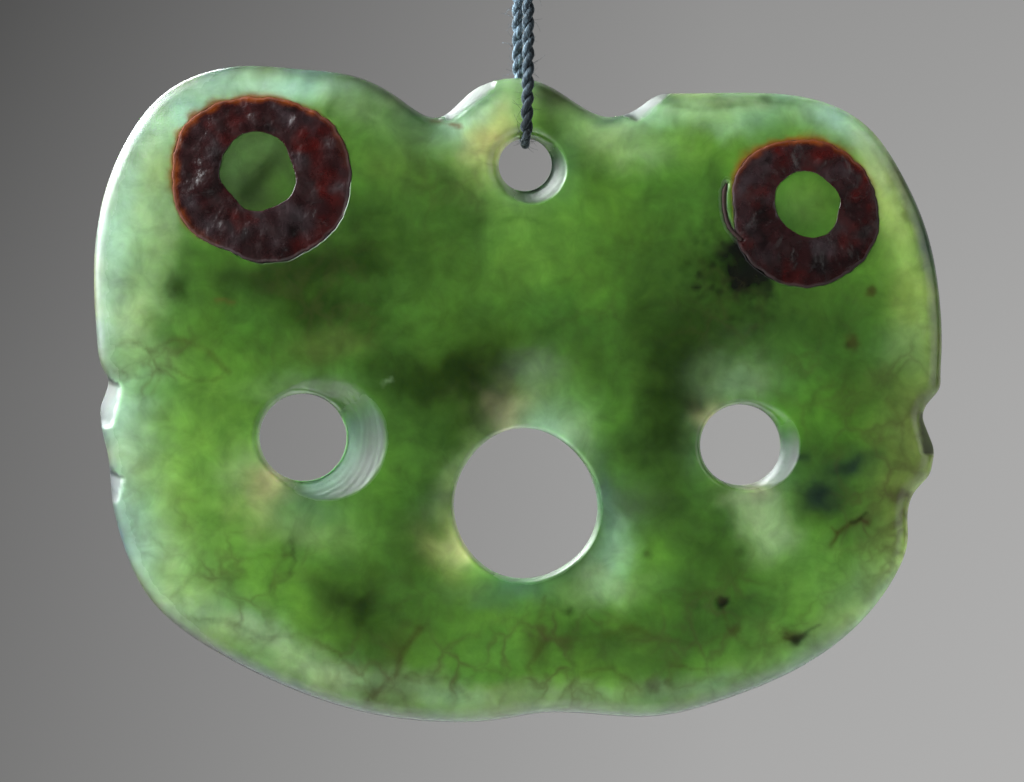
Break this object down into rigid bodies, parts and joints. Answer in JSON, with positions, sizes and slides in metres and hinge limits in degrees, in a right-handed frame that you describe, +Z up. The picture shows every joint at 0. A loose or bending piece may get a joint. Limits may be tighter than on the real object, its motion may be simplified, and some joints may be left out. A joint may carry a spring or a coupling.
{
  "type": "carved greenstone pendant on a yarn loop",
  "caption": "Flat carved stone pendant with pierced openings and wax-inlaid ring eyes, hung on a knotted yarn loop through a bore in its top edge.",
  "frame": {"origin": "underside of the yarn loop's top, where it lies on a hook or peg", "axes": "+X to the right of the carved face, +Y out of the back, +Z up along the hanging yarn; the carved face looks along -Y"},
  "size_m": [0.066, 0.0069, 0.1018],
  "materials": {
    "greenstone": "polished, translucent nephrite",
    "sealing_wax": "dark red sealing wax, worn gloss",
    "yarn": "two-ply blue-grey yarn, fuzzy"
  },
  "bodies": {
    "thread_loop": {"hanging_thread": "yarn", "thread_knot": "yarn"},
    "pendant": {"greenstone_plate": "greenstone", "eye_inlay_left": "sealing_wax", "eye_inlay_right": "sealing_wax"}
  },
  "joints": [
    {"name": "pendant_swing", "type": "hinge", "parent": "thread_loop", "child": "pendant", "pos_m": [0, 0, -0.056], "axis": [0, 1, 0], "range_deg": [-40, 40]}
  ]
}
